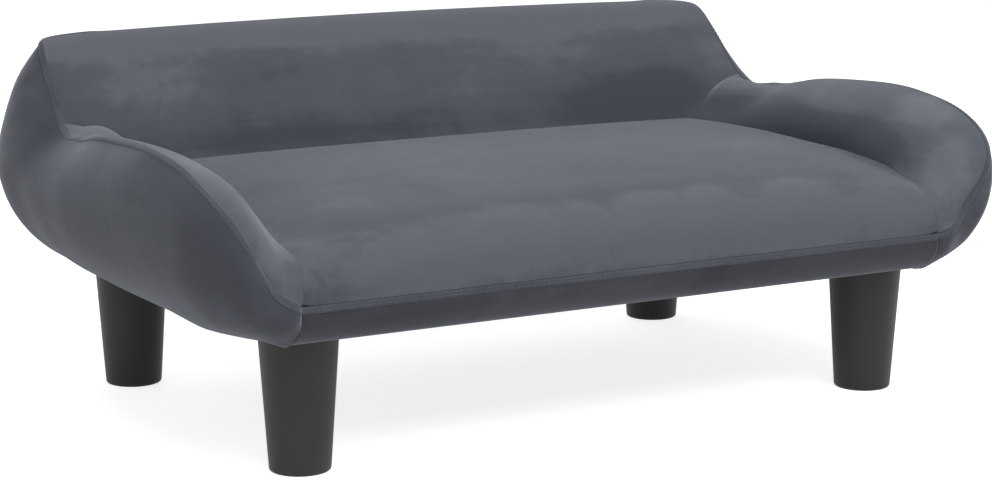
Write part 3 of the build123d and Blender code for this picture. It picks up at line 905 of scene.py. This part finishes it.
# The arms' tops and inner sides are one velvet panel each, over a rolled pad on the arm's board.
# The panel is sewn to the cheek along the roll's outer edge and runs down behind the seat's edge.
# the two long edges of a panel's grid
first_row = (slice(None), 0)
last_row = (slice(None), -1)
left_arm = sewn(
    "left_arm",
    "left_arm_cover",
    "left_arm_foam",
    seed=(-0.29, 0.0, 0.24),
    corner_ways=((-1, 1, 1), (1, 1, 0), (3, -1, -3), (-1, -4, -2)),
    cell=0.005,
    swell=0.002,
    lifts=[((-0.288, 0.088, 0.205), (0.032, 0.042, 0.04), 0.010)],
    meets=[(first_row, panels["left_cheek"][first_row])],
    drops={"last row": 0.026},
)
right_arm = mirror_piece("right_arm", "left_arm", "right_arm_cover", "right_arm_foam")
for arm, side in ((right_arm, 1), (left_arm, -1)):
    # painted light and brushing on the arm: paler on the roll by the backrest and at its front, as painted
    # highlight with brushed pile, and much darker down the inner side by the seat, as painted shade
    arm_painted_light_and_brushing = [
        ((side * 0.29, 0.10, 0.205), (0.045, 0.05, 0.045), 0.35),
        ((side * 0.272, 0.0, 0.185), (0.04, 0.20, 0.035), -1.1),
        ((side * 0.31, -0.135, 0.217), (0.03, 0.06, 0.04), 0.4),
        ((side * 0.289, -0.193, 0.178), (0.035, 0.035, 0.05), 0.5),
    ]
    # the arms' colour is painted paler overall, as painted light on their tops
    arm.data.materials.append(
        velvet_material("velvet_" + arm.name, seed=2, run=run_back, painted_light_tone=1.25, painted_light_and_brushing=arm_painted_light_and_brushing)
    )

# The seat is one crowned velvet panel over thick foam on the plywood deck. It is sewn to the arms,
# tucked in below the backrest, and turns down over a soft front edge to the front seam.
seat = sewn(
    "seat",
    "seat_cover",
    "seat_foam",
    seed=(0, 0, 0.2),
    corner_ways=((-2, 1, 0), (2, 1, 0), (3, -1, -3), (-3, -1, -3)),
    cell=0.005,
    swell=0.004,
    meets=[
        (first_row, panels["left_arm"][last_row]),
        (last_row, panels["right_arm"][last_row]),
    ],
    drops={"first column": 0.012, "first row": 0.012, "last row": 0.012},
)
# painted light and brushing on the seat: the front roll is painted paler where it faces the light, as
# painted highlight, with brushed paler marks along it and a paler patch at the left front
seat_painted_light_and_brushing = [
    ((0, -0.21, 0.155), (0.60, 0.06, 0.055), 0.5),
    ((0.017, -0.199, 0.160), (0.045, 0.04, 0.04), 0.6),
    ((0.145, -0.201, 0.160), (0.035, 0.05, 0.05), 0.7),
    ((0.073, -0.193, 0.169), (0.03, 0.04, 0.03), 0.4),
    ((-0.20, -0.12, 0.18), (0.10, 0.06, 0.05), 0.2),
]
seat.data.materials.append(
    velvet_material("velvet_seat", seed=3, run=run_across, painted_light_tone=1.0, painted_light_and_brushing=seat_painted_light_and_brushing)
)

# The backrest's front is one velvet panel over a leaning foam pad, from the seat up over a rolled
# top. It is sewn to both cheeks along its sloping ends, and its foot is tucked in behind the seat.
backrest = sewn(
    "backrest",
    "backrest_cover",
    "backrest_foam",
    seed=(0, 0.12, 0.23),
    corner_ways=((-1, -1, -2), (1, -1, -2), (1, 1, 1), (-1, 1, 1)),
    cell=0.005,
    swell=0.003,
    meets=[
        (first_row, panels["left_cheek"][first_row]),
        (last_row, panels["right_cheek"][first_row]),
    ],
    drops={"first column": 0.014},
)
# painted light and brushing on the backrest: the rolled top is painted paler as painted highlight from the
# light above, with brushed patches, and the lower part near the seat is painted darker as painted shade
backrest_painted_light_and_brushing = [
    ((0, 0.172, 0.280), (1.2, 0.045, 0.040), 0.75),
    ((-0.24, 0.14, 0.24), (0.09, 0.06, 0.06), 0.35),
    ((0.13, 0.15, 0.255), (0.10, 0.05, 0.04), 0.22),
    ((0.20, 0.11, 0.20), (0.16, 0.06, 0.045), -0.40),
    ((-0.08, 0.10, 0.195), (0.30, 0.05, 0.030), -0.25),
]
backrest.data.materials.append(
    velvet_material("velvet_backrest", seed=4, run=run_across, painted_light_tone=1.0, painted_light_and_brushing=backrest_painted_light_and_brushing)
)

# The back is closed by one flat velvet panel over thin foam on the back board, sewn between the
# cheeks and hemmed under the frame.
back_panel = sewn(
    "back_panel",
    "back_cover",
    "back_foam",
    seed=(0, 0.22, 0.19),
    corner_ways=((-1, 0, -1), (1, 0, -1), (1, 0, 1), (-1, 0, 1)),
    cell=0.006,
    swell=0.003,
    hem_seed=(0, 0.175, 0.09),
)
back_panel.data.materials.append(
    velvet_material("velvet_back_panel", seed=5, run=run_across, painted_light_tone=0.9)
)

# The front strip is a narrow velvet band over thin foam on the front rail, below the seat's front
# seam. Its colour is painted darker, as painted shade for the seat's shade above it, and it is hemmed
# under the frame.
front_strip = sewn(
    "front_strip",
    "front_band",
    "front_band_foam",
    seed=(0, -0.22, 0.115),
    corner_ways=((-1, 0, -1), (1, 0, -1), (1, 0, 1), (-1, 0, 1)),
    cell=0.004,
    swell=0.001,
    hem_seed=(0, -0.19, 0.09),
)
front_strip.data.materials.append(
    velvet_material("velvet_front_strip", seed=6, run=run_across, painted_light_tone=0.62)
)

# Along each cheek's top and the front strip's the seam is felled: its allowance lies flat on the
# lower cloth as a raised velvet band, which runs all the way from one back corner to the other.
# places nearer than this are one place of the seam, and its line and the ways into the lower cloth
# are evened out with so many passes
same_place = 1e-5
line_passes = 2
way_passes = 8
band_step = 0.0025
# how far each line of the band lies into the lower cloth from the seam, and how high over it
band_profile = (
    (-0.0012, -0.0012),
    (-0.0002, -0.0013),
    (0.0004, 0.0004),
    (0.0012, 0.0010),
    (0.0044, 0.0010),
    (0.0052, 0.0004),
    (0.0056, -0.0004),
)
band_smooth_angle = math.radians(40)
over_cloth = 0.006
through_cloth = 0.014


def smoothed(row, passes):
    """A row of vectors, evened out along the row, with its two ends kept."""
    row = np.array(row, float)
    for _ in range(passes):
        row[1:-1] = (row[:-2] + row[1:-1] * 2 + row[2:]) / 4
    return row


def all_cloth(names):
    """One search tree over the finished panels named."""
    corners, faces = [], []
    for name in names:
        mesh = bpy.data.objects[name].data
        first = len(corners)
        corners += [vertex.co.copy() for vertex in mesh.vertices]
        faces += [[first + corner for corner in face.vertices] for face in mesh.polygons]
    return BVHTree.FromPolygons(corners, faces)


def on_cloth(place, out, height):
    """The point at a height over the cloth next to a place."""
    out = Vector(out)
    hit, _, _, _ = cloth_below.ray_cast(Vector(place) + out * over_cloth, -out, through_cloth)
    if hit is None:
        hit, _, _, _ = cloth_below.find_nearest(Vector(place))
    return hit + out * height


cloth_below = all_cloth(("front_strip", "left_cheek", "right_cheek", "left_arm", "right_arm", "seat"))
left_grid, strip_grid, right_grid = (panels[name] for name in ("left_cheek", "front_strip", "right_cheek"))
seam_edge = np.concatenate([left_grid[:, 0], strip_grid[-1], right_grid[::-1, 0]])
seam_inner = np.concatenate([left_grid[:, 1], strip_grid[-2], right_grid[::-1, 1]])
apart = np.concatenate([[True], np.linalg.norm(np.diff(seam_edge, axis=0), axis=1) > same_place])
seam_edge, seam_inner = seam_edge[apart], seam_inner[apart]
seam_ways = smoothed(seam_inner - seam_edge, line_passes)
along = side_lengths(seam_edge)
stops = np.linspace(0, along[-1], round(along[-1] / band_step))
places = smoothed(resampled(seam_edge, along, stops), line_passes)
ways = smoothed(resampled(seam_ways, along, stops), way_passes)
run = np.gradient(places, axis=0)
run /= np.linalg.norm(run, axis=1, keepdims=True)
ways -= (ways * run).sum(axis=1, keepdims=True) * run
ways /= np.linalg.norm(ways, axis=1, keepdims=True)
outwards = -np.cross(run, ways)
outwards /= np.linalg.norm(outwards, axis=1, keepdims=True)

corners = []
for place, way, out in zip(places, ways, outwards):
    for reach, height in band_profile:
        corners.append(on_cloth(place + way * reach, out, height))
quads = []
lines = len(band_profile)
for i in range(len(places) - 1):
    for j in range(lines - 1):
        first = i * lines + j
        quads.append((first, first + 1, first + lines + 1, first + lines))
band_mesh = bpy.data.meshes.new("felled_seam")
band_mesh.from_pydata(corners, [], quads)
felled_seam = bpy.data.objects.new("felled_seam", band_mesh)
bpy.context.collection.objects.link(felled_seam)
alone(felled_seam)
bpy.ops.object.shade_smooth_by_angle(angle=band_smooth_angle)
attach(felled_seam, "root")
felled_seam.data.materials.append(
    velvet_material("velvet_felled_seam", seed=7, run=run_across, painted_light_tone=0.95)
)

# One row of topstitches in a slightly paler thread holds the seam's band near its edge. Each stitch
# is a short length of thread that dips into the cloth at both ends.
stitch_reach = 0.0036
stitch_length = 0.0030
stitch_gap = 0.0012
stitch_radius = 0.00028
stitch_height = 0.0011
stitch_spokes = 6
stitch_smooth_angle = math.radians(60)
# for each ring of a stitch: its place along the stitch, its height and its thickness, as shares
stitch_rings = ((0, 0, 0.3), (0.12, 0.7, 0.9), (0.5, 1, 1), (0.88, 0.7, 0.9), (1, 0, 0.3))
thread_colour = (0.085, 0.092, 0.108, 1)
thread_pale = [1.25 * part for part in thread_colour[:3]] + [1]
thread = plain_material(
    "thread", thread_colour, thread_pale, roughness=0.7, grain=2500, grain_depth=0.0001
)

along = side_lengths(places)
pitch = stitch_length + stitch_gap
last_ring = (len(stitch_rings) - 1) * stitch_spokes
ring_shares, ring_heights, ring_sizes = np.array(stitch_rings).T
corners, quads = [], []
for number in range(int((along[-1] - pitch) / pitch)):
    stops = pitch * number + stitch_gap + ring_shares * stitch_length
    first = len(corners)
    stitch_line = zip(
        resampled(places, along, stops),
        resampled(outwards, along, stops),
        resampled(ways, along, stops),
        ring_heights,
        ring_sizes,
    )
    for place, out, way, high, size in stitch_line:
        height = stitch_height - stitch_radius * (1 - high) * 2
        middle = on_cloth(place + way * stitch_reach, out, height)
        for spoke in range(stitch_spokes):
            turn = math.radians(360 / stitch_spokes * spoke)
            round_way = Vector(out) * math.sin(turn) + Vector(way) * math.cos(turn)
            corners.append(middle + round_way * stitch_radius * size)
    for ring in range(first, first + last_ring, stitch_spokes):
        for spoke in range(stitch_spokes):
            a, b = ring + spoke, ring + (spoke + 1) % stitch_spokes
            quads.append((a, b, b + stitch_spokes, a + stitch_spokes))
    quads.append([first + spoke for spoke in reversed(range(stitch_spokes))])
    quads.append([first + last_ring + spoke for spoke in range(stitch_spokes)])
stitch_mesh = bpy.data.meshes.new("felled_seam_stitches")
stitch_mesh.from_pydata(corners, [], quads)
stitches = bpy.data.objects.new("felled_seam_stitches", stitch_mesh)
bpy.context.collection.objects.link(stitches)
alone(stitches)
bpy.ops.object.mode_set(mode="EDIT")
bpy.ops.mesh.select_all(action="SELECT")
bpy.ops.mesh.normals_make_consistent(inside=False)
bpy.ops.object.mode_set(mode="OBJECT")
bpy.ops.object.shade_smooth_by_angle(angle=stitch_smooth_angle)
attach(stitches, "root")
stitches.data.materials.append(thread)
